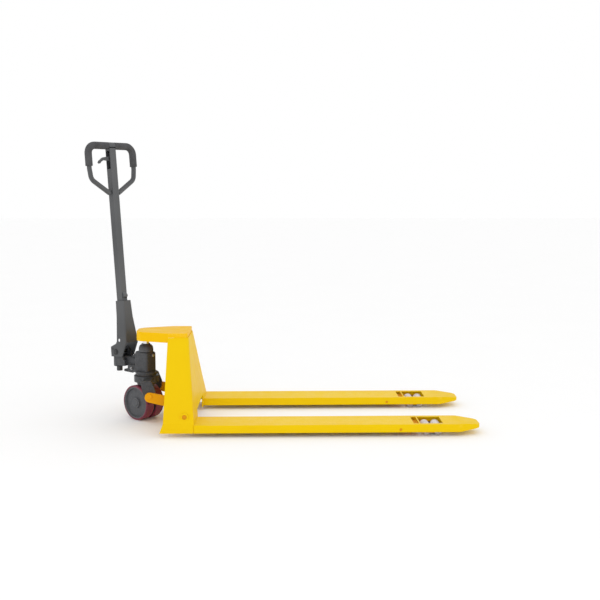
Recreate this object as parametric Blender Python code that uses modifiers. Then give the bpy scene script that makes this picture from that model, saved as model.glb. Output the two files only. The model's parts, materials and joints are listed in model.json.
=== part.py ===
"""Low-profile hand pallet truck with a turned tiller, as an assembly of separate pieces.

Metres, +Z up, +X towards the fork tips, left is +Y. The floor is z = 0.
"""
import math

import bmesh
import bpy
from mathutils import Matrix, Vector

# ---------------------------------------------------------------- driving dimensions
GAP = 0.0003                 # play between touching pieces

OVERALL_WIDTH = 0.685        # over both forks
FORK_WIDTH = 0.160
FORK_BOTTOM = 0.018          # underside of the lowered forks
FORK_TOP = 0.052             # load surface of the lowered forks
FORK_PLATE = 0.004
FORK_TIP_X = 0.8652
FORK_ROOT_X = -0.357
FORK_TAPER = 0.090           # length of the narrowing tip
FORK_Y = (OVERALL_WIDTH - FORK_WIDTH) / 2

FRAME_FRONT_X = -0.489       # free edge of the side plates, operator side
FRAME_BACK_X = -0.358        # face of the back plate at fork height
FRAME_LEAN = 0.040           # how far the back plate leans to the operator at its top
FRAME_TOP = 0.392
FRAME_TOP_HALF = 0.115
FRAME_PLATE = 0.006
CAP_TOP = 0.412
NOSE_END_X = -0.638

SWIVEL_X = -0.602            # vertical steering axis
STEER_ANGLE = math.radians(40)
RING_RADIUS = 0.056
RING_BOTTOM = 0.176
RING_TOP = 0.204
LINK_X = -0.571              # rocker arm's end on the swivel seat
LINK_Z = 0.133
LUG_Y = 0.1200               # middle of the seat's lugs
CHEEK_Y = LUG_Y + 0.0135     # middle of the rocker arm's cheeks
ROCKER_X = -0.399            # rocker shaft through the frame
ROCKER_Z = 0.086

WHEEL_RADIUS = 0.080
WHEEL_WIDTH = 0.046
WHEEL_OFFSET = 0.0295        # wheel's middle plane from the steering plane
AXLE_RADIUS = 0.010
AXLE_U = -0.022               # steer axle trails the steering axis

PIVOT_U = -0.1628            # tiller pivot, in the steered frame
PIVOT_Z = 0.298
TILLER_LEAN = math.radians(4.8)
TUBE_WIDTH = 0.036
TUBE_A = 0.0264              # tube's middle, ahead (+) of the pivot
LOOP_TOP = 0.945             # loop's top bar along the tiller, from the pivot
LOOP_HALF = 0.130
LOOP_TUBE = 0.0112
PLUNGER_U = -0.184

PIN_X = 0.520                # roller frame's fork pin
PIN_Z = 0.030
BOGIE_X = 0.660
ROLLER_RADIUS = 0.0215
ROLLER_PITCH = 0.046
ROLLER_WIDTH = 0.098

CRANK_ARM = 0.034
CRANK_SWING = math.radians(18)       # half of the rocker arm's whole swing
CRANK_X = ROCKER_X - CRANK_ARM * math.sin(CRANK_SWING)
CRANK_Z = ROCKER_Z - CRANK_ARM * math.cos(CRANK_SWING)
ROD_Z = 0.040
ROD_START = CRANK_X - 0.003
LEVER_X = PIN_X - 0.008
AXLE_Z = WHEEL_RADIUS
ARM_LOW = 0.236
ARM_HIGH = 0.276
EAR_Y = 0.0280                # middle of each pivot ear
EAR_PLATE = 0.0090
CUP_FLOOR = 0.2370           # the plunger spring stands on it
BRACKET_TOP = 0.235
ROLLER_LEVER = 0.0240        # from the tiller's pivot to the pressure roller
ROLLER_LIFT = math.radians(30)
GRIP_END = 0.0188            # the sleeves stop at the tiller tube
LEVER_W = 0.886

# ---------------------------------------------------------------- finishes
FINISHES = {
    "yellow_paint": ((0.90, 0.56, 0.01), 0.35, 0.0),
    "black_casting": ((0.030, 0.031, 0.034), 0.55, 0.2),
    "grey_paint": ((0.060, 0.064, 0.070), 0.42, 0.2),
    "rubber": ((0.020, 0.020, 0.022), 0.80, 0.0),
    "steel": ((0.45, 0.45, 0.46), 0.32, 1.0),
    "chrome": ((0.75, 0.75, 0.76), 0.10, 1.0),
    "polyurethane": ((0.30, 0.020, 0.030), 0.40, 0.0),
    "nylon": ((0.70, 0.66, 0.64), 0.45, 0.0),
}


def clear_scene():
    for ob in list(bpy.data.objects):
        bpy.data.objects.remove(ob, do_unlink=True)


clear_scene()
PARTS = bpy.data.collections.new("pallet_jack")
CUTTERS = bpy.data.collections.new("cutters")
for group in (PARTS, CUTTERS):
    bpy.context.scene.collection.children.link(group)


def make_finishes():
    made = {}
    for name, (colour, roughness, metallic) in FINISHES.items():
        mat = bpy.data.materials.new(name)
        mat.use_nodes = True
        shader = mat.node_tree.nodes["Principled BSDF"]
        shader.inputs["Base Color"].default_value = (*colour, 1)
        shader.inputs["Roughness"].default_value = roughness
        shader.inputs["Metallic"].default_value = metallic
        made[name] = mat
    return made


MATERIALS = make_finishes()


# ---------------------------------------------------------------- helpers
def empty(name, location, rotation=(0, 0, 0), parent=None):
    ob = bpy.data.objects.new(name, None)
    ob.location = location
    ob.rotation_euler = rotation
    ob.parent = parent
    PARTS.objects.link(ob)
    return ob


def place(name, data, finish=None, parent=None, location=(0, 0, 0), rotation=(0, 0, 0)):
    """A named piece, or, with no finish, a cutter or union operand."""
    ob = bpy.data.objects.new(name, data)
    ob.location = location
    ob.rotation_euler = rotation
    ob.parent = parent
    if finish:
        PARTS.objects.link(ob)
        data.materials.append(MATERIALS[finish])
    else:
        CUTTERS.objects.link(ob)
        ob.hide_render = True
        ob.display_type = "WIRE"
    return ob


def smooth(mesh, angle=40):
    mesh.shade_smooth()
    mesh.set_sharp_from_angle(angle=math.radians(angle))
    return mesh


def from_bmesh(bm, name, smoothed=False):
    mesh = bpy.data.meshes.new(name)
    bm.to_mesh(mesh)
    bm.free()
    if smoothed:
        smooth(mesh)
    return mesh


def box_mesh(low, high, bevel=0.0, segments=1):
    """A box between two corners, its edges rounded by bevel."""
    size = [h - lo for lo, h in zip(low, high)]
    middle = [(h + lo) / 2 for lo, h in zip(low, high)]
    bm = bmesh.new()
    bmesh.ops.create_cube(bm, size=1, matrix=Matrix.Translation(middle) @ Matrix.Diagonal((*size, 1)))
    if bevel:
        bmesh.ops.bevel(bm, geom=bm.edges[:], offset=bevel, segments=segments, affect="EDGES",
                        profile=0.5, clamp_overlap=True)
    return from_bmesh(bm, "box")


TURN = {"X": Matrix.Rotation(math.pi / 2, 4, "Y"), "Y": Matrix.Rotation(math.pi / 2, 4, "X"),
        "Z": Matrix.Identity(4)}


def rod_mesh(radius, start, end, axis="Z", at=(0, 0), sides=16, bevel=0.0):
    """A cylinder along an axis from start to end, at the other two coordinates."""
    middle = (start + end) / 2
    spots = {"X": (middle, *at), "Y": (at[0], middle, at[1]), "Z": (*at, middle)}
    bm = bmesh.new()
    bmesh.ops.create_cone(bm, cap_ends=True, segments=sides, radius1=radius, radius2=radius,
                          depth=end - start, matrix=Matrix.Translation(spots[axis]) @ TURN[axis])
    if bevel:
        rims = [e for e in bm.edges if any(len(f.verts) > 4 for f in e.link_faces)]
        bmesh.ops.bevel(bm, geom=rims, offset=bevel, segments=2, affect="EDGES", profile=0.5)
    return from_bmesh(bm, "rod", smoothed=True)


def turned_mesh(profile, sides=20, closed=False):
    """Turn a profile of (radius, height) points about Z. It runs down the outer side first."""
    mesh = bpy.data.meshes.new("profile")
    edges = [(i, i + 1) for i in range(len(profile) - 1)]
    if closed:
        edges.append((len(profile) - 1, 0))
    mesh.from_pydata([(r, 0, z) for r, z in profile], edges, [])
    ob = bpy.data.objects.new("profile", mesh)
    CUTTERS.objects.link(ob)
    screw = ob.modifiers.new("Screw", "SCREW")
    screw.steps = sides
    screw.render_steps = sides
    screw.use_merge_vertices = True
    screw.merge_threshold = 0.00002
    return evaluated(ob)


def evaluated(ob, weld=0.00001):
    """The mesh that an object's modifiers or curve give; the object itself is removed."""
    bpy.context.view_layer.update()
    mesh = bpy.data.meshes.new_from_object(ob.evaluated_get(bpy.context.evaluated_depsgraph_get()))
    bm = bmesh.new()
    bm.from_mesh(mesh)
    bmesh.ops.remove_doubles(bm, verts=bm.verts[:], dist=weld)
    bmesh.ops.recalc_face_normals(bm, faces=bm.faces[:])
    bm.to_mesh(mesh)
    bm.free()
    bpy.data.objects.remove(ob, do_unlink=True)
    return smooth(mesh)


def arc(cx, cy, radius, start, end, steps=6):
    """Points on an arc; angles in degrees."""
    angles = [math.radians(start + (end - start) * i / steps) for i in range(steps + 1)]
    return [(cx + radius * math.cos(a), cy + radius * math.sin(a)) for a in angles]


def rounded(points, radius, steps=3):
    """A closed outline with its corners rounded; radius may be one number or one a corner."""
    radii = radius if isinstance(radius, (list, tuple)) else [radius] * len(points)
    out = []
    for i, (corner, r) in enumerate(zip(points, radii)):
        here = Vector(corner)
        before = (Vector(points[i - 1]) - here).normalized()
        after = (Vector(points[(i + 1) % len(points)]) - here).normalized()
        if r <= 0:
            out.append(tuple(here))
            continue
        half = before.angle(after) / 2
        reach = r / math.tan(half)
        centre = here + (before + after).normalized() * (r / math.sin(half))
        a = here + before * reach - centre
        b = here + after * reach - centre
        turn = a.angle_signed(b)
        for k in range(steps + 1):
            out.append(tuple(centre + Matrix.Rotation(-turn * k / steps, 2) @ a))
    return out


def sheet_mesh(outlines, thickness, plane="XY", at=0.0):
    """A flat outline (with holes after the first) given a thickness, centred at a distance."""
    curve = bpy.data.curves.new("outline", "CURVE")
    curve.dimensions = "2D"
    curve.fill_mode = "BOTH"
    curve.extrude = thickness / 2
    curve.render_resolution_u = 0
    for points in outlines:
        spline = curve.splines.new("POLY")
        spline.points.add(len(points) - 1)
        for spot, (x, y) in zip(spline.points, points):
            spot.co = (x, y, 0, 1)
        spline.use_cyclic_u = True
    ob = bpy.data.objects.new("outline", curve)
    CUTTERS.objects.link(ob)
    mesh = evaluated(ob)
    turns = {"XY": Matrix.Translation((0, 0, at)),
             "XZ": Matrix.Translation((0, at, 0)) @ Matrix.Rotation(math.pi / 2, 4, "X"),
             "YZ": Matrix.Translation((at, 0, 0)) @ Matrix(((0, 0, 1, 0), (1, 0, 0, 0),
                                                            (0, 1, 0, 0), (0, 0, 0, 1)))}
    mesh.transform(turns[plane])
    return mesh


def tube_mesh(points, radius, resolution=3, cyclic=False):
    """A round bar through points."""
    curve = bpy.data.curves.new("route", "CURVE")
    curve.dimensions = "3D"
    curve.bevel_depth = radius
    curve.bevel_resolution = resolution
    curve.use_fill_caps = True
    curve.render_resolution_u = 0
    spline = curve.splines.new("POLY")
    spline.points.add(len(points) - 1)
    for spot, co in zip(spline.points, points):
        spot.co = (*co, 1)
    spline.use_cyclic_u = cyclic
    ob = bpy.data.objects.new("route", curve)
    CUTTERS.objects.link(ob)
    return evaluated(ob)


def shell_mesh(rows, thickness):
    """Rows of points skinned into an open surface and thickened inwards."""
    bm = bmesh.new()
    grid = [[bm.verts.new(p) for p in row] for row in rows]
    for lower, upper in zip(grid, grid[1:]):
        for i in range(len(lower) - 1):
            bm.faces.new((lower[i], lower[i + 1], upper[i + 1], upper[i]))
    ob = bpy.data.objects.new("shell", from_bmesh(bm, "shell"))
    CUTTERS.objects.link(ob)
    solid = ob.modifiers.new("Solidify", "SOLIDIFY")
    solid.thickness = thickness
    solid.offset = -1
    solid.use_even_offset = True
    return evaluated(ob)


def combine(ob, mesh, operation="DIFFERENCE"):
    """Cut a mesh, given in the piece's own frame, from the piece, or join it on."""
    tool = place(ob.name + "_" + operation.lower(), mesh, None, ob)
    step = ob.modifiers.new(operation.title(), "BOOLEAN")
    step.operation = operation
    step.solver = "EXACT"
    step.object = tool
    return ob


def join(ob, *meshes):
    for mesh in meshes:
        combine(ob, mesh, "UNION")
    return ob


def cut(ob, *meshes):
    for mesh in meshes:
        combine(ob, mesh)
    return ob


def bevel(ob, width, segments=2):
    step = ob.modifiers.new("Bevel", "BEVEL")
    step.width = width
    step.segments = segments
    step.limit_method = "ANGLE"
    step.angle_limit = math.radians(50)
    return ob


# ---------------------------------------------------------------- frames of the moving pieces
def steered(u, v):
    """World X and Y of a point given in the steered frame."""
    c = math.cos(STEER_ANGLE)
    s = math.sin(STEER_ANGLE)
    return SWIVEL_X + u * c + v * s, -u * s + v * c


steer = empty("steer_axis", (SWIVEL_X, 0, 0), (0, 0, -STEER_ANGLE))
tiller = empty("tiller_axis", (PIVOT_U, 0, PIVOT_Z), (0, -TILLER_LEAN, 0), steer)


# ---------------------------------------------------------------- swivel seat
def make_swivel_seat():
    bore = RING_RADIUS - 0.026
    ring = turned_mesh([(RING_RADIUS, RING_TOP), (RING_RADIUS, RING_BOTTOM),
                        (bore, RING_BOTTOM), (bore, RING_TOP)], 40, closed=True)
    seat = place("swivel_seat", ring, "black_casting", None, (SWIVEL_X, 0, 0))
    reach = LINK_X - SWIVEL_X
    outline = [(reach - 0.042, RING_TOP - 0.004), (reach + 0.006, RING_TOP - 0.004),
               (reach + 0.024, LINK_Z + 0.020), (reach + 0.020, LINK_Z - 0.020),
               (reach - 0.020, LINK_Z - 0.020), (reach - 0.034, LINK_Z + 0.020)]
    for side in (-1, 1):
        low, high = sorted((side * 0.040, side * (LUG_Y - 0.004)))
        web = box_mesh((reach - 0.032, low, RING_BOTTOM + 0.001), (reach + 0.004, high, RING_TOP - 0.006))
        lug = sheet_mesh([rounded(outline, [0.008, 0.010, 0.012, 0.018, 0.018, 0.012])],
                         0.015, "XZ", side * LUG_Y)
        join(seat, web, lug)
    return seat


# ---------------------------------------------------------------- chassis
def side_y(z):
    """Half width of the frame at a height."""
    low = 0.060
    share = max(0.0, (z - low) / (FRAME_TOP - low))
    return OVERALL_WIDTH / 2 + (FRAME_TOP_HALF - OVERALL_WIDTH / 2) * share


def back_x(z):
    """Face of the back plate at a height."""
    low = 0.060
    return FRAME_BACK_X - FRAME_LEAN * max(0.0, (z - low) / (FRAME_TOP - low))


def make_frame_shell():
    rows = []
    for z in (FORK_BOTTOM, 0.060, 0.150, 0.270, FRAME_TOP):
        corner = 0.0075 if z < 0.100 else 0.020
        half = side_y(z)
        back = back_x(z)
        front = FRAME_FRONT_X - (0.016 if z == FORK_BOTTOM else 0)
        path = [(front, -half)]
        path += arc(back - corner, -half + corner, corner, -90, 0, 4)
        path += arc(back - corner, half - corner, corner, 0, 90, 4)
        path.append((front, half))
        rows.append([(x, y, z) for x, y in path])
    shell = place("frame_shell", shell_mesh(rows, FRAME_PLATE), "yellow_paint")
    inner = FORK_WIDTH / 2 - FORK_PLATE - 0.001
    for side in (-1, 1):
        cut(shell, box_mesh((FRAME_BACK_X - 0.030, side * FORK_Y - inner, 0.010),
                            (FRAME_BACK_X + 0.010, side * FORK_Y + inner, FORK_TOP - FORK_PLATE)))
    cut(shell, box_mesh((FRAME_BACK_X - 0.040, -0.150, 0.010), (FRAME_BACK_X + 0.010, 0.150, 0.078), 0.008))
    edge = side_y(ROCKER_Z) + 0.0075
    for side in (-1, 1):
        low, high = sorted((side * edge, side * (edge - 0.026)))
        join(shell, rod_mesh(0.0165, low, high, "Y", (ROCKER_X, ROCKER_Z), 24))
    cut(shell, rod_mesh(0.0103, -0.36, 0.36, "Y", (ROCKER_X, ROCKER_Z), 20))
    return shell


def make_nose_cap():
    """Top of the frame and the nose over the pump, one pressed piece open underneath."""
    back = back_x(FRAME_TOP)
    low = 0.370
    half = FRAME_TOP_HALF
    top = FRAME_FRONT_X - GAP
    nose = [(back - 0.004, -half), (top, -half), (NOSE_END_X + 0.020, -0.066), (NOSE_END_X, -0.040),
            (NOSE_END_X, 0.040), (NOSE_END_X + 0.020, 0.066), (top, half), (back - 0.004, half)]
    outline = rounded(nose, [0.016, 0.010, 0.030, 0.024, 0.024, 0.030, 0.010, 0.016])
    cap = place("nose_cap", sheet_mesh([outline], CAP_TOP - low, "XY", (CAP_TOP + low) / 2), "yellow_paint")
    bevel(cap, 0.010, 2)
    cap.modifiers["Bevel"].limit_method = "WEIGHT"
    data = cap.data
    weights = data.attributes.new("bevel_weight_edge", "FLOAT", "EDGE")
    for edge in data.edges:
        ends = [data.vertices[i].co.z for i in edge.vertices]
        weights.data[edge.index].value = 1.0 if min(ends) > CAP_TOP - 0.001 else 0.0
    cut(cap, box_mesh((top, -0.2, low - 0.01), (-0.30, 0.2, FRAME_TOP + GAP)))
    wall = 0.006
    hollow = [(top + 0.001, -half + wall + 0.004), (NOSE_END_X + 0.030, -0.056),
              (NOSE_END_X + wall, -0.034), (NOSE_END_X + wall, 0.034),
              (NOSE_END_X + 0.030, 0.056), (top + 0.001, half - wall - 0.004)]
    outline = rounded(hollow, [0.004, 0.024, 0.018, 0.018, 0.024, 0.004])
    cut(cap, sheet_mesh([outline], 0.036 + 0.010, "XY", low - 0.010 + 0.023))
    return cap


def make_ram():
    place("ram_cup", turned_mesh([(0, 0.4055), (0.026, 0.4055), (0.026, 0.378), (0.023, 0.374),
                                  (0, 0.374)], 24),
          "steel", None, (SWIVEL_X, 0, 0))
    place("lift_ram", turned_mesh([(0, 0.3737), (0.012, 0.3737), (0.015, 0.370), (0.015, 0.218),
                                   (0, 0.218)], 24),
          "chrome", None, (SWIVEL_X, 0, 0))


def make_fork(side, name):
    half = FORK_WIDTH / 2
    root = FORK_ROOT_X
    taper = FORK_TIP_X - FORK_TAPER
    plan = rounded([(root, -half), (taper, -half), (FORK_TIP_X - 0.012, -0.050), (FORK_TIP_X, -0.034),
                    (FORK_TIP_X, 0.034), (FORK_TIP_X - 0.012, 0.050), (taper, half), (root, half)],
                   [0, 0.060, 0.020, 0.014, 0.014, 0.020, 0.060, 0])
    fork = place(name, sheet_mesh([plan], FORK_TOP - FORK_BOTTOM, "XY", (FORK_TOP + FORK_BOTTOM) / 2),
                 "yellow_paint", None, (0, side * FORK_Y, 0))
    bevel(fork, 0.003, 2)
    slope = sheet_mesh([[(taper, FORK_TOP + 0.0005), (FORK_TIP_X + 0.02, FORK_TOP - 0.010),
                         (FORK_TIP_X + 0.02, FORK_TOP + 0.03), (taper, FORK_TOP + 0.03)]], 0.2, "XZ")
    rise = sheet_mesh([[(taper, FORK_BOTTOM), (FORK_TIP_X + 0.02, FORK_BOTTOM - 0.03),
                        (FORK_TIP_X + 0.02, FORK_BOTTOM + 0.0125)]], 0.2, "XZ")
    inner = half - FORK_PLATE
    cut(fork, slope, rise, box_mesh((root - 0.01, -inner, FORK_BOTTOM - 0.01),
                              (taper - 0.006, inner, FORK_TOP - FORK_PLATE)))
    top = (FORK_TOP - 0.01, FORK_TOP + 0.01)
    middle = BOGIE_X
    for low, high in ((middle - 0.054, middle + 0.044), (middle - 0.082, middle - 0.059)):
        cut(fork, box_mesh((low, -0.060, top[0]), (high, 0.060, top[1])))
    cut(fork, rod_mesh(0.0063, -0.1, 0.1, "Y", (PIN_X, PIN_Z), 16))
    return fork


def make_rocker_shaft():
    edge = side_y(ROCKER_Z) + 0.008
    shaft = rod_mesh(0.010, -edge, edge, "Y", (ROCKER_X, ROCKER_Z), 20, 0.002)
    return place("rocker_shaft", shaft, "steel")


# ---------------------------------------------------------------- linkage under the forks


def make_rocker():
    arm = place("rocker_arm", rod_mesh(0.019, -0.300, 0.300, "Y", (ROCKER_X, ROCKER_Z), 24), "yellow_paint")
    cheek = rounded([(LINK_X - 0.022, LINK_Z - 0.022), (ROCKER_X + 0.018, ROCKER_Z - 0.026),
                     (ROCKER_X + 0.018, ROCKER_Z + 0.026), (LINK_X - 0.022, LINK_Z + 0.022)],
                    [0.021, 0.016, 0.016, 0.021])
    crank = rounded([(CRANK_X - 0.011, CRANK_Z - 0.010), (CRANK_X + 0.011, CRANK_Z - 0.010),
                     (ROCKER_X + 0.022, ROCKER_Z + 0.012), (ROCKER_X - 0.022, ROCKER_Z + 0.012)],
                    [0.009, 0.009, 0.006, 0.006])
    for side in (-1, 1):
        join(arm, sheet_mesh([cheek], 0.010, "XZ", side * CHEEK_Y),
             sheet_mesh([crank], 0.010, "XZ", side * FORK_Y))
        cut(arm, rod_mesh(0.0062, side * FORK_Y - 0.02, side * FORK_Y + 0.02, "Y", (CRANK_X, CRANK_Z), 16))
        cut(arm, rod_mesh(0.0083, side * CHEEK_Y - 0.02, side * CHEEK_Y + 0.02, "Y", (LINK_X, LINK_Z), 16))
    cut(arm, rod_mesh(0.0103, -0.31, 0.31, "Y", (ROCKER_X, ROCKER_Z), 20))
    for side, name in ((-1, "link_pin_right"), (1, "link_pin_left")):
        pin = [(0, 0.009), (0.011, 0.009), (0.012, 0.0075), (0.012, 0.0055), (0.008, 0.0055),
               (0.008, -0.006), (0, -0.006)]
        place(name, turned_mesh(pin, 20), "steel", None, (LINK_X, side * CHEEK_Y, LINK_Z),
              (math.pi / 2 * (-side), 0, 0))


def make_push_rod(side, name):
    """Flat bar in the fork, with a two-cheek end at the crank and an eye at the roller frame."""
    y = side * FORK_Y
    low = CRANK_Z
    rear = rounded([(ROD_START - 0.006, low - 0.010), (ROD_START + 0.040, ROD_Z - 0.010),
                    (ROD_START + 0.030, ROD_Z + 0.004), (ROD_START + 0.012, low + 0.008),
                    (ROD_START - 0.006, low + 0.008)], [0.007, 0.002, 0.004, 0.006, 0.007])
    bar = place(name, box_mesh((ROD_START + 0.030, -0.012, ROD_Z - 0.006),
                               (LEVER_X - 0.030, 0.012, ROD_Z + 0.003), 0.001),
                "grey_paint", None, (0, y, 0))
    for cheek in (-1, 1):
        join(bar, sheet_mesh([rear], 0.005, "XZ", cheek * 0.0085))
    join(bar, box_mesh((LEVER_X - 0.034, -0.004, ROD_Z - 0.0033), (LEVER_X + 0.004, 0.004, ROD_Z + 0.0045)))
    cut(bar, rod_mesh(0.0043, -0.03, 0.03, "Y", (CRANK_X, CRANK_Z), 16))
    place(name + "_pin", rod_mesh(0.004, -0.0115, 0.0115, "Y", (CRANK_X, CRANK_Z), 16), "steel", None,
          (0, y, 0))
    return bar


def make_roller_frame(side, name):
    """Two cheeks and a cross plate, hinged on the fork pin, holding the bogie between them."""
    y = side * FORK_Y
    cheek = rounded([(PIN_X - 0.012, PIN_Z - 0.011), (BOGIE_X + 0.010, ROLLER_RADIUS - 0.009),
                     (BOGIE_X + 0.010, ROLLER_RADIUS + 0.011), (PIN_X - 0.012, PIN_Z + 0.0125)],
                    [0.009, 0.008, 0.008, 0.009])
    frame = place(name, box_mesh((PIN_X + 0.016, -0.066, PIN_Z - 0.004),
                                 (BOGIE_X - ROLLER_PITCH / 2 - ROLLER_RADIUS - 0.010, 0.066,
                                  PIN_Z + 0.008)),
                  "yellow_paint", None, (0, y, 0))
    for end in (-1, 1):
        join(frame, sheet_mesh([cheek], 0.005, "XZ", end * 0.0655))
        lug = rounded([(LEVER_X - 0.002, PIN_Z - 0.004), (PIN_X + 0.020, PIN_Z - 0.004),
                       (PIN_X + 0.020, PIN_Z + 0.008), (LEVER_X - 0.002, PIN_Z + 0.0145)], 0.003)
        low, high = sorted((end * 0.0525, end * 0.0695))
        join(frame, sheet_mesh([lug], 0.006, "XZ", end * 0.0085),
             rod_mesh(0.004, low, high, "Y", (BOGIE_X, ROLLER_RADIUS), 16))
    cut(frame, rod_mesh(0.0063, -0.08, 0.08, "Y", (PIN_X, PIN_Z), 16))
    edge = FORK_WIDTH / 2 - 0.0005
    place(name.replace("frame", "fork_pin"),
          rod_mesh(0.006, -edge, edge, "Y", (PIN_X, PIN_Z), 16, 0.001), "steel", None, (0, y, 0))
    return frame


def make_bogie(side, label):
    """Two bars riveted to both roller axles, hung on the roller frame's two stub pins."""
    y = side * FORK_Y
    reach = ROLLER_PITCH / 2
    bar = rounded([(BOGIE_X - reach - 0.010, ROLLER_RADIUS - 0.009),
                   (BOGIE_X + reach + 0.010, ROLLER_RADIUS - 0.009),
                   (BOGIE_X + reach + 0.010, ROLLER_RADIUS + 0.009),
                   (BOGIE_X - reach - 0.010, ROLLER_RADIUS + 0.009)],
                  0.0085)
    bogie = place("bogie_" + label, sheet_mesh([bar], 0.005, "XZ", -0.0565), "grey_paint", None, (0, y, 0))
    join(bogie, sheet_mesh([bar], 0.005, "XZ", 0.0565))
    for end in (-1, 1):
        cut(bogie, rod_mesh(0.0043, end * 0.0565 - 0.004, end * 0.0565 + 0.004, "Y",
                            (BOGIE_X, ROLLER_RADIUS), 16))
    for k, word in ((-1, "rear"), (1, "front")):
        x = BOGIE_X + k * reach
        join(bogie, rod_mesh(0.004, -0.060, 0.060, "Y", (x, ROLLER_RADIUS), 16))
        half = ROLLER_WIDTH / 2
        profile = [(ROLLER_RADIUS - 0.002, half), (ROLLER_RADIUS, half - 0.002),
                   (ROLLER_RADIUS, -half + 0.002),
                   (ROLLER_RADIUS - 0.002, -half), (0.0043, -half), (0.0043, half)]
        place("load_roller_" + label + "_" + word, turned_mesh(profile, 20, True), "nylon", None,
              (x, y, ROLLER_RADIUS), (math.pi / 2, 0, 0))


# ---------------------------------------------------------------- steered pump unit


def make_pump():
    block = box_mesh((-0.048, -0.031, 0.2135), (0.036, 0.031, 0.314), 0.012, 3)
    pump = place("pump_body", block, "black_casting", steer)
    neck = rod_mesh(0.029, 0.1752, 0.225, "Z", sides=32)
    flange = turned_mesh([(0, 0.224), (0.046, 0.224), (0.050, 0.220), (0.050, 0.2135), (0, 0.2135)], 32)
    arm = box_mesh((-0.170, -0.015, ARM_LOW), (-0.020, 0.015, ARM_HIGH), 0.004)
    barrel = rod_mesh(0.0265, 0.226, 0.281, "Z", (PLUNGER_U, 0), 28, 0.002)
    nozzle = rod_mesh(0.0135, 0.2035, 0.230, "Z", (PLUNGER_U, 0), 20)
    ear = rounded([(-0.108, 0.236), (-0.118, 0.262), (PIVOT_U + 0.017, PIVOT_Z + 0.015),
                   (PIVOT_U - 0.0132, PIVOT_Z + 0.0132), (PIVOT_U - 0.0132, 0.250), (PIVOT_U, 0.236)],
                  [0.004, 0.010, 0.014, 0.014, 0.004, 0.004])
    bridge = box_mesh((-0.146, -0.0325, 0.2365), (-0.112, 0.0325, 0.262))
    brace = sheet_mesh([rounded([(-0.120, 0.262), (-0.040, 0.262), (-0.040, 0.304), (-0.058, 0.304)],
                                [0, 0, 0, 0.012])], 0.014, "XZ")
    valve = box_mesh((-0.098, -0.030, 0.214), (-0.036, -0.006, 0.246), 0.005)
    join(pump, neck, flange, arm, barrel, nozzle, bridge, brace, valve)
    for side in (-1, 1):
        join(pump, sheet_mesh([ear], EAR_PLATE, "XZ", side * EAR_Y))
    cut(pump, rod_mesh(0.0228, CUP_FLOOR, 0.360, "Z", (PLUNGER_U, 0), 28))
    cut(pump, rod_mesh(0.0163, 0.214, 0.330, "Z", sides=32),
        rod_mesh(0.0083, 0.2050, 0.280, "Z", (PLUNGER_U, 0), 20),
        rod_mesh(0.0093, -0.05, 0.05, "Y", (PIVOT_U, PIVOT_Z), 20),
        rod_mesh(0.0043, -0.05, 0.05, "Y", (-0.076, 0.2265), 16))
    place("pump_head", turned_mesh([(0.020, 0.346), (0.026, 0.343), (0.031, 0.336), (0.033, 0.326),
                                    (0.033, 0.3143), (0.0163, 0.3143), (0.0163, 0.346)], 32, True),
                                    "black_casting", steer)
    place("dust_seal", turned_mesh([(0.019, 0.350), (0.020, 0.3463), (0.0153, 0.3463), (0.0153, 0.350)],
                                   28, True),
          "rubber", steer)
    place("oil_plug", turned_mesh([(0, 0.007), (0.006, 0.007), (0.007, 0.006), (0.007, 0.0003),
                                   (0, 0.0003)], 6),
          "steel", steer, (0.036, 0.006, 0.298), (0, math.pi / 2, 0))
    place("valve_screw", turned_mesh([(0, 0.012), (0.0035, 0.012), (0.0035, 0.006), (0.0065, 0.006),
                                      (0.0065, 0.0003), (0, 0.0003)], 12),
          "steel", steer, (-0.062, -0.030, 0.232), (math.pi / 2, 0, 0))
    place("thrust_bearing", turned_mesh([(0.044, 0.2132), (0.045, 0.2088), (0.044, RING_TOP + GAP),
                                         (0.0325, RING_TOP + GAP), (0.0325, 0.2132)], 32, True), "steel",
                                         steer)
    place("pivot_shaft", rod_mesh(0.009, -0.0425, 0.0425, "Y", (PIVOT_U, PIVOT_Z), 24, 0.0015), "steel",
          steer)


def make_plunger():
    top = 0.298
    place("pump_plunger", turned_mesh([(0, top), (0.010, top), (0.011, top - 0.001), (0.011, 0.2878),
                                       (0.008, 0.2878), (0.008, 0.232), (0, 0.232)], 20),
          "chrome", steer, (PLUNGER_U, 0, 0))
    place("spring_cap", turned_mesh([(0.021, 0.2875), (0.022, 0.2865), (0.022, 0.2835), (0.0083, 0.2835),
                                     (0.0083, 0.2875)], 28, True), "steel", steer, (PLUNGER_U, 0, 0))
    turns = 5
    steps = int(turns * 12)
    low = CUP_FLOOR + GAP
    wire = 0.0018
    rise = 0.2832 - low - 2 * wire
    points = [(0.0185 * math.cos(2 * math.pi * i / 12), 0.0185 * math.sin(2 * math.pi * i / 12),
               low + wire + rise * i / steps) for i in range(steps + 1)]
    place("plunger_spring", tube_mesh(points, wire, 2), "steel", steer, (PLUNGER_U, 0, 0))


def make_release_lever():
    outline = rounded([(-0.090, 0.203), (-0.070, 0.221), (-0.070, 0.2330), (-0.084, 0.2330),
                       (-0.150, 0.214),
                       (-0.150, 0.204)], [0.006, 0.006, 0.006, 0.010, 0.004, 0.004])
    lever = place("release_lever", sheet_mesh([outline], 0.006, "XZ", 0.0), "steel", steer)
    cut(lever, rod_mesh(0.0043, -0.05, 0.05, "Y", (-0.076, 0.2265), 16))
    place("release_pin", rod_mesh(0.004, -0.0220, 0.0045, "Y", (-0.076, 0.2265), 16, 0.0006), "steel",
          steer)


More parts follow.
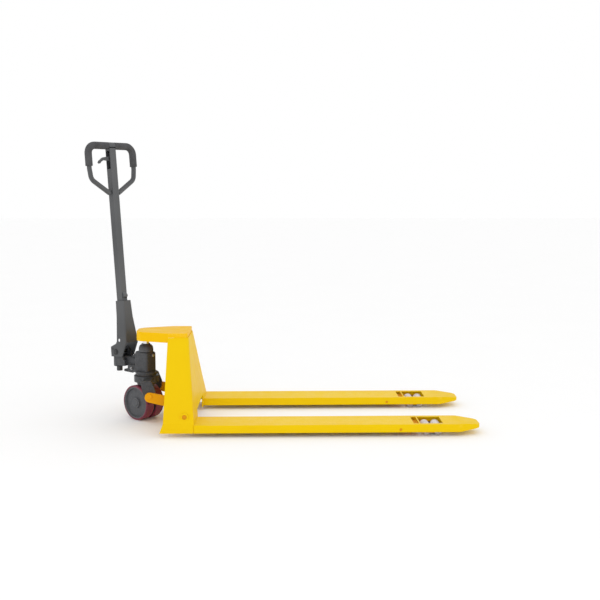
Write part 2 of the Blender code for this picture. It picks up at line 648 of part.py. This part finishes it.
def make_axle_carrier():
    plate = turned_mesh([(0, 0.1749), (0.040, 0.1749), (0.043, 0.172), (0.043, 0.1635), (0, 0.1635)], 32)
    carrier = place("axle_carrier", plate, "black_casting", steer)
    web = rounded([(-0.038, 0.168), (AXLE_U - 0.018, AXLE_Z - 0.016), (AXLE_U + 0.018, AXLE_Z - 0.016),
                   (0.038, 0.168)],
                  [0, 0.015, 0.015, 0])
    join(carrier, sheet_mesh([web], 0.011, "XZ"))
    cut(carrier, rod_mesh(AXLE_RADIUS + GAP, -0.03, 0.03, "Y", (AXLE_U, AXLE_Z), 24))
    edge = WHEEL_OFFSET + WHEEL_WIDTH / 2
    place("steer_axle", rod_mesh(AXLE_RADIUS, -edge + 0.004, edge - 0.004, "Y", (AXLE_U, AXLE_Z), 24,
                                 0.001),
          "steel", steer)


def make_steer_wheel(side, label):
    y = side * WHEEL_OFFSET
    half = WHEEL_WIDTH / 2
    spot = dict(parent=steer, location=(AXLE_U, y, AXLE_Z), rotation=(math.pi / 2 * (-side), 0, 0))
    rim = WHEEL_RADIUS - 0.0075
    tread = [(WHEEL_RADIUS - 0.003, half), (WHEEL_RADIUS, half - 0.004), (WHEEL_RADIUS, -half + 0.004),
             (WHEEL_RADIUS - 0.003, -half), (rim + GAP, -half), (rim + GAP, half)]
    place("wheel_tread_" + label, turned_mesh(tread, 36, True), "polyurethane", **spot)
    hub = [(rim, half - 0.001), (rim, -half + 0.001), (rim - 0.006, -half + 0.001),
           (rim - 0.010, -half + 0.010),
           (0.024, -half + 0.010), (0.021, -half + 0.002), (0.0178, -half + 0.002), (0.0178, half - 0.002),
           (0.023, half - 0.002), (0.026, half - 0.009), (rim - 0.010, half - 0.009),
           (rim - 0.006, half - 0.001)]
    place("wheel_hub_" + label, turned_mesh(hub, 28, True), "grey_paint", **spot)
    race = [(0.0175, half - 0.006), (0.0175, half - 0.016), (AXLE_RADIUS + GAP, half - 0.016),
            (AXLE_RADIUS + GAP, half - 0.006)]
    place("wheel_bearing_" + label, turned_mesh(race, 16, True), "steel", **spot)
    cap = [(0, half + 0.0005), (0.0150, half + 0.0005), (0.0172, half - 0.0015), (0.0172, half - 0.0035),
           (0, half - 0.0035)]
    place("wheel_cap_" + label, turned_mesh(cap, 20), "grey_paint", **spot)


# ---------------------------------------------------------------- tiller


def roller_spot():
    """Pressure roller's axis in the tiller's own frame: half its swing above the pivot."""
    angle = ROLLER_LIFT + TILLER_LEAN
    return -ROLLER_LEVER * math.cos(angle), ROLLER_LEVER * math.sin(angle)


def make_bracket():
    rows = []
    for w, half, back, front in ((-0.022, 0.0385, -0.034, 0.040), (0.023, 0.0385, -0.034, 0.064),
                                 (0.038, 0.0385, 0.0040, 0.072), (0.050, 0.0385, 0.0119, 0.074),
                                 (0.161, 0.0262, 0.0089, 0.065), (BRACKET_TOP, 0.0232, 0.0079, 0.062)):
        corner = 0.007
        path = [(back, -half)]
        path += arc(front - corner, -half + corner, corner, -90, 0, 3)
        path += arc(front - corner, half - corner, corner, 0, 90, 3)
        path.append((back, half))
        rows.append([(a, v, w) for a, v in path])
    bracket = place("tiller_bracket", shell_mesh(rows, 0.0045), "grey_paint", tiller)
    a, w = roller_spot()
    cut(bracket, box_mesh((0.026, -0.0335, -0.040), (0.100, 0.0335, 0.043)),
        rod_mesh(0.0093, -0.06, 0.06, "Y", (0, 0), 20),
        rod_mesh(0.0053, -0.05, 0.05, "Y", (a, w), 16),
        rod_mesh(0.0080, -0.06, 0.06, "Y", (0.0262, 0.0540), 20))
    return bracket


def make_pressure_roller():
    a, w = roller_spot()
    place("roller_shaft", rod_mesh(0.005, -0.0390, 0.0390, "Y", (a, w), 16, 0.0008), "steel", tiller)
    place("pressure_roller", turned_mesh([(0.0105, 0.016), (0.0115, 0.015), (0.0115, -0.015),
                                          (0.0105, -0.016),
                                          (0.0053, -0.016), (0.0053, 0.016)], 28, True), "steel", tiller,
          (a, 0, w), (math.pi / 2, 0, 0))


def make_tiller_tube():
    half = TUBE_WIDTH / 2
    outer = rounded([(-half, -half), (half, -half), (half, half), (-half, half)], 0.005, 3)
    inner = rounded([(-half + 0.003, -half + 0.003), (half - 0.003, -half + 0.003),
                     (half - 0.003, half - 0.003), (-half + 0.003, half - 0.003)], 0.002, 2)
    low, high = 0.101, LOOP_TOP - LOOP_TUBE - GAP
    tube = place("tiller_tube", sheet_mesh([outer, inner], high - low, "XY", (high + low) / 2),
                 "grey_paint",
                 tiller, (TUBE_A, 0, 0))
    cut(tube, box_mesh((-0.012, -half - 0.01, 0.840), (0.012, -half + 0.008, 0.922)))
    tab = rounded([(half, 0.245), (half + 0.011, 0.254), (half + 0.011, 0.260), (half, 0.276)],
                  [0, 0.002, 0.002, 0])
    place("guide_tab", sheet_mesh([[(x + GAP, z) for x, z in tab]], 0.020, "XZ"), "grey_paint", tiller,
          (TUBE_A, 0, 0))


def loop_side(side):
    """Centre line of one side of the loop, from the post up to the middle of the top bar."""
    edge = LOOP_HALF
    low = (0.026, 0.730)
    knee = (edge - 0.006, 0.792)
    top = (edge, LOOP_TOP)
    outline = [low, knee, (edge, 0.840), top, (0.0, LOOP_TOP)]
    path = [low]
    for i, radius in ((1, 0.035), (2, 0.030), (3, 0.038)):
        here = Vector(outline[i])
        before = (Vector(outline[i - 1]) - here).normalized()
        after = (Vector(outline[i + 1]) - here).normalized()
        half = before.angle(after) / 2
        centre = here + (before + after).normalized() * (radius / math.sin(half))
        a = here + before * radius / math.tan(half) - centre
        b = here + after * radius / math.tan(half) - centre
        turn = a.angle_signed(b)
        steps = 8 if i == 3 else 4
        path += [tuple(centre + Matrix.Rotation(-turn * k / steps, 2) @ a) for k in range(steps + 1)]
    return [(TUBE_A, side * y, w) for y, w in path]


def make_handle():
    right = loop_side(-1)
    left = loop_side(1)
    place("handle_loop", tube_mesh(right + left[::-1], LOOP_TUBE, 3), "grey_paint", tiller)
    for side, label in ((-1, "right"), (1, "left")):
        path = [p for p in loop_side(side) if p[2] > 0.835]
        start = (TUBE_A, side * LOOP_HALF, 0.852)
        path = [start] + [p for p in path if p[2] > 0.860] + [(TUBE_A, side * GRIP_END, LOOP_TOP)]
        grip = place("grip_" + label, tube_mesh(path, 0.0170, 3), "rubber", tiller)
        route = [(start[0], start[1], start[2] - 0.02)] + path[1:-1] + [(TUBE_A, side * (GRIP_END - 0.02),
                                                                         LOOP_TOP)]
        cut(grip, tube_mesh(route, LOOP_TUBE + GAP + 0.0003, 3))


def make_control_lever():
    top = [(0.010, 0.010), (-0.022, 0.010), (-0.050, 0.006), (-0.072, -0.010), (-0.077, -0.018)]
    low = [(-0.071, -0.023), (-0.063, -0.014), (-0.047, -0.006), (-0.030, -0.008), (-0.010, -0.012),
           (0.010, -0.012)]
    outline = rounded(top + low, [0.004, 0.010, 0.020, 0.008, 0.001, 0.001, 0.008, 0.02, 0.02, 0.004,
                                  0.006], 3)
    lever = place("control_lever", sheet_mesh([outline], 0.013, "YZ"), "grey_paint", tiller,
                  (TUBE_A, 0, LEVER_W))
    cut(lever, rod_mesh(0.0033, -0.03, 0.03, "X", (0, 0), 16))
    place("lever_pin", rod_mesh(0.003, -0.0146, 0.0146, "X", (0, LEVER_W), 16), "steel", tiller,
          (TUBE_A, 0, 0))
    place("pull_rod", rod_mesh(0.003, 0.121, LEVER_W - 0.016, "Z", (TUBE_A, 0.004), 12), "steel", tiller)


# ---------------------------------------------------------------- assembly
make_swivel_seat()
make_frame_shell()
make_nose_cap()
make_ram()
make_rocker_shaft()
make_rocker()
for hand, word in ((-1, "right"), (1, "left")):
    make_fork(hand, "fork_" + word)
    make_push_rod(hand, "push_rod_" + word)
    make_roller_frame(hand, "roller_frame_" + word)
    make_bogie(hand, word)
    make_steer_wheel(hand, word)
make_pump()
make_plunger()
make_release_lever()
make_axle_carrier()
make_bracket()
make_pressure_roller()
make_tiller_tube()
make_handle()
make_control_lever()
bpy.context.view_layer.update()
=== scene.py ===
"""Low-profile hand pallet truck with a turned tiller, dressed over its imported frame."""
import json
import math

import bmesh
import bpy
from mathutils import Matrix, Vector


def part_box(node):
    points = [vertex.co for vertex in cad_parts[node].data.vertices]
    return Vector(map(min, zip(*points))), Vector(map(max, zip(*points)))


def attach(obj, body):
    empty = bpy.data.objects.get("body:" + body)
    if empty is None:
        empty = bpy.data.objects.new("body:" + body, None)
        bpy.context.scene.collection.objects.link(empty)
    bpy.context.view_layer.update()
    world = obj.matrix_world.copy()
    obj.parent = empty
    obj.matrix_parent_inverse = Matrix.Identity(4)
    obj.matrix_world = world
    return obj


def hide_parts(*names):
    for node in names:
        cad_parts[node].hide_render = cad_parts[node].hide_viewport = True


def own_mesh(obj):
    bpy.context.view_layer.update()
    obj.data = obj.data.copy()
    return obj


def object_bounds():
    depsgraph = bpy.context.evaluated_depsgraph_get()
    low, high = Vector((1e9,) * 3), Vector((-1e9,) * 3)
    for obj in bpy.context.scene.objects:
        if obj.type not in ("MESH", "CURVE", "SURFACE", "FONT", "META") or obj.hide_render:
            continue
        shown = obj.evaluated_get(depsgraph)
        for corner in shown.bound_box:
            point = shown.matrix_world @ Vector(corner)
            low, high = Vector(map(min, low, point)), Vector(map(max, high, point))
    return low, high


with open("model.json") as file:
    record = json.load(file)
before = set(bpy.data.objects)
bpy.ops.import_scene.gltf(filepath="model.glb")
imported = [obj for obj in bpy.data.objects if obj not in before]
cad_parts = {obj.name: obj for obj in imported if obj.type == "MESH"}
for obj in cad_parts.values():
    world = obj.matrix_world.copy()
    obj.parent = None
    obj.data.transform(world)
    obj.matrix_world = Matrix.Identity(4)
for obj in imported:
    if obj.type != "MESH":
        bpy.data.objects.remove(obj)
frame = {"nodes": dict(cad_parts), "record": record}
CAD_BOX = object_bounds()
NODES = frame["nodes"]
BODY = {node: body for body, nodes in frame["record"]["behaviour"]["bodies"].items() for node in nodes}
SLOT = {s["node"]: s["material_slot"] for s in frame["record"]["subparts"]}
UP = Vector((0, 0, 1))
LENS_MM = 56.54
CAMERA_PLACE = (0.0013, -4.2462, 1.0452)
CAMERA_DOWN = 0.1170                           # radians below level
CAMERA_TURN = -0.0229
PIVOT = Vector((-0.72671, 0.10465, 0.298))     # middle of the tiller's pivot shaft
STEER_TURN = math.radians(-40)                 # the stored steering angle
TILLER_LEAN = math.radians(4.8)
BAR = (0.0264, 0.945)                          # the handle's top bar in the tiller's frame
BAR_RADIUS = 0.0116
SADDLE_RADIUS = 0.0165
SADDLE_HALF = 0.0182
BEVEL_SEGMENTS = 2
BEVEL_ANGLE = math.radians(32)
BEAD_RADIUS = 0.0022
BEAD_STANDOFF = 0.0006                         # how far the weld bead stands off the back plate
BEAD_TURN = 0.0035                             # where the bead turns the corner from wall to deck
CLIP_SIDES = 28
CLIP_OUTLINE = ((0.0094, 0.0388), (0.0140, 0.0388), (0.0143, 0.0391), (0.0143, 0.0403), (0.0140, 0.0406),
                (0.0094, 0.0406))              # retaining ring: radius, place along the shaft


# ---------------------------------------------------------------- camera
def make_camera():
    cam = bpy.data.cameras.new("camera")
    cam.sensor_width = 36
    cam.lens = LENS_MM
    ob = bpy.data.objects.new("camera", cam)
    ob.location = CAMERA_PLACE
    ob.rotation_euler = (math.pi / 2 - CAMERA_DOWN, 0, CAMERA_TURN)
    bpy.context.scene.collection.objects.link(ob)
    bpy.context.scene.camera = ob


# ---------------------------------------------------------------- materials
class Nodes:
    """A small helper that strings shader nodes together."""

    def __init__(self, name):
        self.mat = bpy.data.materials.new(name)
        self.mat.use_nodes = True
        self.tree = self.mat.node_tree
        self.bsdf = self.tree.nodes["Principled BSDF"]
        self.coord = self.tree.nodes.new("ShaderNodeTexCoord").outputs["Object"]

    def new(self, kind, **inputs):
        node = self.tree.nodes.new(kind)
        for key, value in inputs.items():
            self.put(node.inputs[key.replace("_", " ")], value)
        return node

    def put(self, socket, value):
        if isinstance(value, bpy.types.NodeSocket):
            self.tree.links.new(value, socket)
        else:
            socket.default_value = value

    def noise(self, scale, detail=3.0, rough=0.5, stretch=None):
        vector = self.coord
        if stretch:
            vector = self.new("ShaderNodeMapping", Vector=vector, Scale=stretch).outputs[0]
        return self.new("ShaderNodeTexNoise", Vector=vector, Scale=scale, Detail=detail,
                        Roughness=rough).outputs[0]

    def ramp(self, value, stops):
        node = self.new("ShaderNodeValToRGB", Fac=value)
        ramp = node.color_ramp
        while len(ramp.elements) < len(stops):
            ramp.elements.new(0.5)
        for element, (at, colour) in zip(ramp.elements, stops):
            element.position = at
            element.color = (*colour, 1) if len(colour) == 3 else (colour[0],) * 3 + (1,)
        return node.outputs[0]

    def mix(self, fac, a, b):
        node = self.tree.nodes.new("ShaderNodeMix")
        node.data_type = "RGBA"
        self.put(node.inputs[0], fac)
        self.put(node.inputs[6], a)
        self.put(node.inputs[7], b)
        return node.outputs[2]

    def math(self, how, a, b=0.0):
        node = self.tree.nodes.new("ShaderNodeMath")
        node.operation = how
        self.put(node.inputs[0], a)
        self.put(node.inputs[1], b)
        return node.outputs[0]

    def span(self, value, low, high):
        """A noise value spread over low to high."""
        return self.new("ShaderNodeMapRange", Value=value, From_Min=0.3, From_Max=0.7, To_Min=low,
                        To_Max=high).outputs[0]

    def bump(self, height, strength, distance):
        node = self.new("ShaderNodeBump", Height=height, Strength=strength, Distance=distance)
        self.tree.links.new(node.outputs[0], self.bsdf.inputs["Normal"])

    def worn_edge(self, low, high):
        """Close to 1 on the sharpest outer edges only."""
        edge = self.tree.nodes.new("ShaderNodeNewGeometry").outputs["Pointiness"]
        return self.new("ShaderNodeMapRange", Value=edge, From_Min=low, From_Max=high, To_Min=0.0,
                        To_Max=1.0).outputs[0]

    def finish(self, colour, roughness, metallic=0.0):
        self.put(self.bsdf.inputs["Base Color"], colour)
        self.put(self.bsdf.inputs["Roughness"], roughness)
        self.bsdf.inputs["Metallic"].default_value = metallic
        return self.mat


def yellow_paint(name="yellow_paint", base=(0.86, 0.585, 0.002), deep=(0.84, 0.545, 0.002)):
    n = Nodes(name)
    drift = n.noise(3.0, 3)
    colour = n.mix(n.span(drift, 0.0, 1.0), (*deep, 1), (*base, 1))
    speck = n.ramp(n.noise(420, 2), [(0.72, (0,)), (0.80, (1,))])
    colour = n.mix(n.math("MULTIPLY", speck, 0.10), colour, (0.55, 0.30, 0.02, 1))
    scuff = n.ramp(n.noise(14, 6, 0.65), [(0.60, (0,)), (0.72, (1,))])
    colour = n.mix(n.math("MULTIPLY", scuff, 0.10), colour, (0.78, 0.42, 0.02, 1))
    chip = n.math("MULTIPLY", n.worn_edge(0.56, 0.64), n.span(n.noise(160, 4), 0.0, 0.5))
    colour = n.mix(chip, colour, (0.96, 0.66, 0.10, 1))
    n.bump(n.math("ADD", n.noise(230, 2), n.math("MULTIPLY", n.noise(35, 2), 0.5)), 0.10, 0.0006)
    n.bsdf.inputs["Specular IOR Level"].default_value = 0.07
    return n.finish(colour, n.span(n.noise(26, 4), 0.36, 0.50))


def black_casting(name="black_casting", dark=(0.022, 0.023, 0.026), light=(0.060, 0.062, 0.068)):
    n = Nodes(name)
    grain = n.noise(190, 5, 0.6)
    colour = n.mix(n.span(grain, 0.0, 1.0), (*dark, 1), (*light, 1))
    dust = n.ramp(n.noise(22, 5, 0.6), [(0.55, (0,)), (0.72, (1,))])
    colour = n.mix(n.math("MULTIPLY", dust, 0.25), colour, (0.11, 0.105, 0.10, 1))
    colour = n.mix(n.math("MULTIPLY", n.worn_edge(0.55, 0.65), 0.5), colour, (0.16, 0.16, 0.165, 1))
    n.bump(n.math("ADD", grain, n.noise(60, 3)), 0.35, 0.0009)
    return n.finish(colour, n.span(n.noise(70, 4), 0.42, 0.62))


def grey_paint():
    n = Nodes("grey_paint")
    colour = n.mix(n.span(n.noise(5, 3), 0.0, 1.0), (0.056, 0.058, 0.061, 1), (0.078, 0.080, 0.083, 1))
    colour = n.mix(n.math("MULTIPLY", n.worn_edge(0.55, 0.65), 0.35), colour, (0.13, 0.135, 0.14, 1))
    n.bump(n.noise(520, 3, 0.6), 0.16, 0.0005)
    return n.finish(colour, n.span(n.noise(40, 4), 0.36, 0.50))


def rubber():
    n = Nodes("rubber")
    tone = 0.042
    colour = n.mix(n.span(n.noise(30, 4), 0.0, 1.0), (tone, tone, tone * 1.05, 1),
                   (tone * 1.8, tone * 1.8, tone * 1.9, 1))
    n.bump(n.noise(600, 3, 0.6), 0.25, 0.0004)
    return n.finish(colour, n.span(n.noise(90, 3), 0.62, 0.82))


def steel(name="steel", light=0.56, dark=0.36, rough=(0.26, 0.42)):
    n = Nodes(name)
    lines = n.noise(60, 4, 0.6, (1, 1, 9))
    colour = n.mix(n.span(lines, 0.0, 1.0), (dark, dark, dark * 1.02, 1), (light, light, light * 1.01, 1))
    spot = n.ramp(n.noise(120, 5, 0.6), [(0.62, (0,)), (0.74, (1,))])
    colour = n.mix(n.math("MULTIPLY", spot, 0.35), colour, (0.22, 0.20, 0.18, 1))
    n.bump(lines, 0.12, 0.0003)
    return n.finish(colour, n.span(n.noise(80, 4), *rough), 1.0)


def chrome():
    n = Nodes("chrome")
    lines = n.noise(200, 2, 0.5, (1, 1, 0.05))
    colour = n.mix(n.span(lines, 0.0, 1.0), (0.72, 0.72, 0.74, 1), (0.82, 0.82, 0.83, 1))
    n.bump(lines, 0.03, 0.0001)
    return n.finish(colour, n.span(n.noise(40, 3), 0.06, 0.14), 1.0)


def polyurethane():
    n = Nodes("polyurethane")
    colour = n.mix(n.span(n.noise(18, 4), 0.0, 1.0), (0.13, 0.012, 0.030, 1), (0.22, 0.024, 0.052, 1))
    scuff = n.ramp(n.noise(75, 6, 0.7), [(0.56, (0,)), (0.70, (1,))])
    colour = n.mix(n.math("MULTIPLY", scuff, 0.28), colour, (0.13, 0.07, 0.075, 1))
    n.bump(n.noise(260, 4, 0.6), 0.16, 0.0004)
    return n.finish(colour, n.span(n.noise(60, 4), 0.34, 0.55))


def nylon():
    n = Nodes("nylon")
    colour = n.mix(n.span(n.noise(20, 4), 0.0, 1.0), (0.62, 0.54, 0.52, 1), (0.76, 0.70, 0.68, 1))
    scuff = n.ramp(n.noise(110, 6, 0.7), [(0.58, (0,)), (0.72, (1,))])
    colour = n.mix(n.math("MULTIPLY", scuff, 0.3), colour, (0.34, 0.30, 0.28, 1))
    n.bump(n.noise(300, 3, 0.6), 0.10, 0.0004)
    return n.finish(colour, n.span(n.noise(70, 4), 0.38, 0.55))


MATERIALS = {"yellow_paint": yellow_paint(), "black_casting": black_casting(), "grey_paint": grey_paint(),
             "rubber": rubber(), "steel": steel(), "chrome": chrome(), "polyurethane": polyurethane(),
             "nylon": nylon()}
SPRING_STEEL = steel("spring_steel", 0.10, 0.04, (0.40, 0.55))
HUB_PAINT = black_casting("hub_paint", (0.050, 0.052, 0.058), (0.085, 0.088, 0.096))
GREASE = black_casting("greased_steel", (0.030, 0.028, 0.026), (0.075, 0.070, 0.066))
# Painted shade: a near-black finish on the bogies, standing in for the shade inside the fork's roller
# windows.
SHADED_BOGIE_IRON = black_casting("shaded_bogie_iron", (0.030, 0.028, 0.027), (0.058, 0.055, 0.053))
# Painted shade: a darker orange copy of the yellow paint on the roller frames seen through the fork
# windows, the roller fork pins and the rocker shaft.
SHADED_PIN_PAINT = yellow_paint("shaded_pin_paint", (0.78, 0.33, 0.010), (0.66, 0.26, 0.010))
# Painted shade: a more orange copy of the yellow paint on the nose cap, standing in for the shade on its
# upright flange.
SHADED_NOSE_PAINT = yellow_paint("shaded_nose_paint", (0.90, 0.535, 0.002), (0.88, 0.50, 0.002))
# Painted shade: a darker orange copy of the yellow paint on the rocker arm and its link pins, standing in
# for the shade low under the frame.
SHADED_ARM_PAINT = yellow_paint("shaded_arm_paint", (0.86, 0.40, 0.004), (0.82, 0.36, 0.004))
OWN = {"nose_cap": SHADED_NOSE_PAINT, "rocker_arm": SHADED_ARM_PAINT, "plunger_spring": SPRING_STEEL,
       "wheel_hub_left": HUB_PAINT, "wheel_hub_right": HUB_PAINT,
       "wheel_cap_left": HUB_PAINT, "wheel_cap_right": HUB_PAINT, "control_lever": MATERIALS["grey_paint"],
       "roller_frame_left": SHADED_PIN_PAINT, "roller_frame_right": SHADED_PIN_PAINT, "bogie_left": SHADED_BOGIE_IRON,
       "bogie_right": SHADED_BOGIE_IRON, "rocker_shaft": SHADED_PIN_PAINT, "roller_fork_pin_left": SHADED_PIN_PAINT,
       "roller_fork_pin_right": SHADED_PIN_PAINT, "link_pin_left": SHADED_ARM_PAINT,
       "link_pin_right": SHADED_ARM_PAINT, "lever_pin": SPRING_STEEL,
       "thrust_bearing": GREASE, "spring_cap": SPRING_STEEL, "release_lever": SPRING_STEEL,
       "pressure_roller": GREASE, "roller_shaft": SPRING_STEEL, "pivot_shaft": SPRING_STEEL}


# ---------------------------------------------------------------- pieces
def adopt(ob, body, material):
    """The piece joins the scene on its body, in its finish."""
    if ob.name not in bpy.context.scene.objects:
        bpy.context.scene.collection.objects.link(ob)
    ob.data.materials.clear()
    ob.data.materials.append(material)
    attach(ob, body)


def finish_of(node):
    return OWN.get(node) or MATERIALS[SLOT[node]]


def to_object(name, bm):
    """The mesh just modelled, as an object."""
    mesh = bpy.data.meshes.new(name)
    bm.to_mesh(mesh)
    bm.free()
    return bpy.data.objects.new(name, mesh)


def skin(bm, rings, closed=False):
    """Quads between neighbouring rings, and two end caps unless the rings close on themselves."""
    following = rings[1:] + rings[:1] if closed else rings[1:]
    for low, high in zip(rings, following):
        for k in range(len(low)):
            after = (k + 1) % len(low)
            bm.faces.new((low[k], low[after], high[after], high[k]))
    if not closed:
        bm.faces.new(rings[0][::-1])
        bm.faces.new(rings[-1])
    bmesh.ops.recalc_face_normals(bm, faces=bm.faces)


def smooth(ob, angle=35):
    bm = bmesh.new()
    bm.from_mesh(ob.data)
    for face in bm.faces:
        face.smooth = True
    for edge in bm.edges:
        edge.smooth = len(edge.link_faces) == 2 and edge.calc_face_angle(0) < math.radians(angle)
    bm.to_mesh(ob.data)
    bm.free()


def applied(ob):
    """Bakes the piece's modifiers into its mesh."""
    mesh = bpy.data.meshes.new_from_object(ob.evaluated_get(bpy.context.evaluated_depsgraph_get()))
    ob.modifiers.clear()
    ob.data = mesh


def refined(node, width):
    """The solid with its pressed or cast edges rounded, standing in for the plain node."""
    bm = bmesh.new()
    bm.from_mesh(NODES[node].data)
    bmesh.ops.remove_doubles(bm, verts=bm.verts, dist=0.00002)
    bmesh.ops.dissolve_limit(bm, angle_limit=math.radians(1.0), verts=bm.verts, edges=bm.edges)
    ob = to_object(node + "_body", bm)
    bpy.context.scene.collection.objects.link(ob)
    round_off = ob.modifiers.new("edges", "BEVEL")
    round_off.width = width
    round_off.segments = BEVEL_SEGMENTS
    round_off.limit_method = "ANGLE"
    round_off.angle_limit = BEVEL_ANGLE
    applied(ob)
    smooth(ob, 40)
    weight = ob.modifiers.new("normals", "WEIGHTED_NORMAL")
    weight.keep_sharp = True
    applied(ob)
    adopt(ob, BODY[node], finish_of(node))
    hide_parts(node)


def dress_nodes(skip):
    """Every node that is shown as packed gets its own finish."""
    for name, ob in NODES.items():
        if name in skip:
            continue
        ob.data.materials.clear()
        ob.data.materials.append(finish_of(name))


def ribbon_tube(name, points, radius, sides=10, ripple=0.0, pitch=0.004):
    """A round bead along the points, closed at both ends, with weld ripples if asked for."""
    dense = [Vector(points[0])]
    for a, b in zip(points, points[1:]):
        a, b = Vector(a), Vector(b)
        count = max(1, int((b - a).length / (pitch / 3)))
        dense += [a.lerp(b, k / count) for k in range(1, count + 1)]
    bm = bmesh.new()
    rings = []
    walked = 0.0
    for i, p in enumerate(dense):
        if i:
            walked += (p - dense[i - 1]).length
        along = (dense[min(i + 1, len(dense) - 1)] - dense[max(i - 1, 0)]).normalized()
        side = along.cross(Vector((1, 0, 0)) if abs(along.x) < 0.9 else UP).normalized()
        up = side.cross(along)
        here = radius * (1 - ripple * abs(math.sin(math.pi * walked / pitch)))
        rings.append([bm.verts.new(p + here * (math.cos(t) * side + math.sin(t) * up))
                      for t in (2 * math.pi * k / sides for k in range(sides))])
    skin(bm, rings)
    ob = to_object(name, bm)
    smooth(ob, 60)
    return ob


def heel_weld(side, word):
    """The bead that joins a fork's end to the frame's back plate: outer wall, deck and inner wall."""
    low, high = (Vector(corner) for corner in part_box("fork_" + word))
    x = low.x - BEAD_STANDOFF
    r, turn = BEAD_RADIUS, BEAD_TURN
    outer, inner = (low.y, high.y) if side < 0 else (high.y, low.y)
    path = [(x, outer - side * r, low.z + r), (x, outer - side * r, high.z - turn),
            (x, outer - side * turn, high.z - 0.3 * r), (x, inner + side * turn, high.z - 0.3 * r),
            (x, inner + side * r, high.z - turn), (x, inner + side * r, low.z + r)]
    bead = ribbon_tube("heel_weld_" + word, path, r, ripple=0.28)
    adopt(bead, "chassis", MATERIALS["yellow_paint"])


def tiller_point(a, v, w):
    """A point in the tiller's own frame, whose origin is the pivot."""
    u = a * math.cos(TILLER_LEAN) - w * math.sin(TILLER_LEAN)
    z = a * math.sin(TILLER_LEAN) + w * math.cos(TILLER_LEAN)
    along = Vector((math.cos(STEER_TURN), math.sin(STEER_TURN), 0))
    across = Vector((-math.sin(STEER_TURN), math.cos(STEER_TURN), 0))
    return PIVOT + along * u + across * v + UP * z


def return_spring():
    """The plunger's spring, a copy of its node carried by the steering unit."""
    ob = bpy.data.objects.new("return_spring", NODES["plunger_spring"].data.copy())
    smooth(ob, 60)
    adopt(ob, "steer_unit", SPRING_STEEL)
    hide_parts("plunger_spring")
    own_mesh(ob)


def pivot_clip(side, word):
    """A retaining ring in the pivot shaft's groove, just outside the bracket's cheek."""
    across = tiller_point(0, 1, 0) - PIVOT
    along = UP.cross(across).normalized()
    bm = bmesh.new()
    rings = []
    for r, v in CLIP_OUTLINE:
        rings.append([bm.verts.new(PIVOT + across * side * v + r * (math.cos(t) * along + math.sin(t) * UP))
                      for t in (2 * math.pi * k / CLIP_SIDES for k in range(CLIP_SIDES))])
    skin(bm, rings, closed=True)
    ob = to_object("pivot_clip_" + word, bm)
    smooth(ob, 35)
    adopt(ob, "steer_unit", SPRING_STEEL)


def bar_saddle():
    """The pressed saddle over the middle of the handle's top bar, where the tiller tube ends."""
    bm = bmesh.new()
    rings = []
    for v, r in ((-SADDLE_HALF, SADDLE_RADIUS - 0.0012), (0.0008 - SADDLE_HALF, SADDLE_RADIUS),
                 (SADDLE_HALF - 0.0008, SADDLE_RADIUS), (SADDLE_HALF, SADDLE_RADIUS - 0.0012)):
        turns = [math.radians(-18 + 216 * k / 18) for k in range(19)]
        outline = [(r, t) for t in turns] + [(BAR_RADIUS, t) for t in reversed(turns)]
        rings.append([bm.verts.new(tiller_point(BAR[0] + reach * math.cos(t), v,
                                                BAR[1] + reach * math.sin(t)))
                      for reach, t in outline])
    skin(bm, rings)
    ob = to_object("bar_saddle", bm)
    smooth(ob, 35)
    adopt(ob, "tiller", MATERIALS["grey_paint"])


REFINED = {"frame_shell": 0.0016, "nose_cap": 0.0022, "fork_left": 0.0016, "fork_right": 0.0016,
           "tiller_bracket": 0.0012, "pump_body": 0.0018, "rocker_arm": 0.0012, "swivel_seat": 0.0014,
           "axle_carrier": 0.0014, "control_lever": 0.0018, "grip_left": 0.0022, "grip_right": 0.0022,
           "release_lever": 0.0008, "roller_frame_left": 0.0010, "roller_frame_right": 0.0010}
for node, width in REFINED.items():
    refined(node, width)
dress_nodes(list(REFINED) + ["plunger_spring"])
for hand, word in ((-1, "right"), (1, "left")):
    heel_weld(hand, word)
    pivot_clip(hand, word)
return_spring()
bar_saddle()


# ---------------------------------------------------------------- studio
def make_stage():
    bm = bmesh.new()
    bmesh.ops.create_grid(bm, x_segments=8, y_segments=8, size=30)
    floor = to_object("studio_floor", bm)
    floor.location = (0, 0, CAD_BOX[0][2] - 0.0005)
    bpy.context.scene.collection.objects.link(floor)
    n = Nodes("studio_floor")
    colour = n.mix(n.noise(2.0, 3), (0.975, 0.975, 0.975, 1), (0.99, 0.99, 0.99, 1))
    n.bsdf.inputs["Specular IOR Level"].default_value = 0.1
    floor.data.materials.append(n.finish(colour, 0.95))


def area_light(name, place, aim, size, power):
    light = bpy.data.lights.new(name, "AREA")
    light.shape = "RECTANGLE"
    light.size = size[0]
    light.size_y = size[1]
    light.energy = power
    ob = bpy.data.objects.new(name, light)
    ob.location = place
    ob.rotation_euler = (Vector(aim) - Vector(place)).to_track_quat("-Z", "Y").to_euler()
    bpy.context.scene.collection.objects.link(ob)


def make_lights():
    world = bpy.data.worlds.new("studio")
    world.use_nodes = True
    back = world.node_tree.nodes["Background"]
    back.inputs[0].default_value = (1.0, 1.0, 1.0, 1)
    back.inputs[1].default_value = 1.0
    bpy.context.scene.world = world
    area_light("key", (-0.6, -4.2, 1.6), (0, 0, 0.3), (3.0, 2.0), 14)
    area_light("top", (0.6, 0.4, 4.0), (0.1, 0, 0), (3.5, 3.0), 1)
    bpy.context.scene.view_settings.view_transform = "Standard"


make_camera()
make_stage()
make_lights()
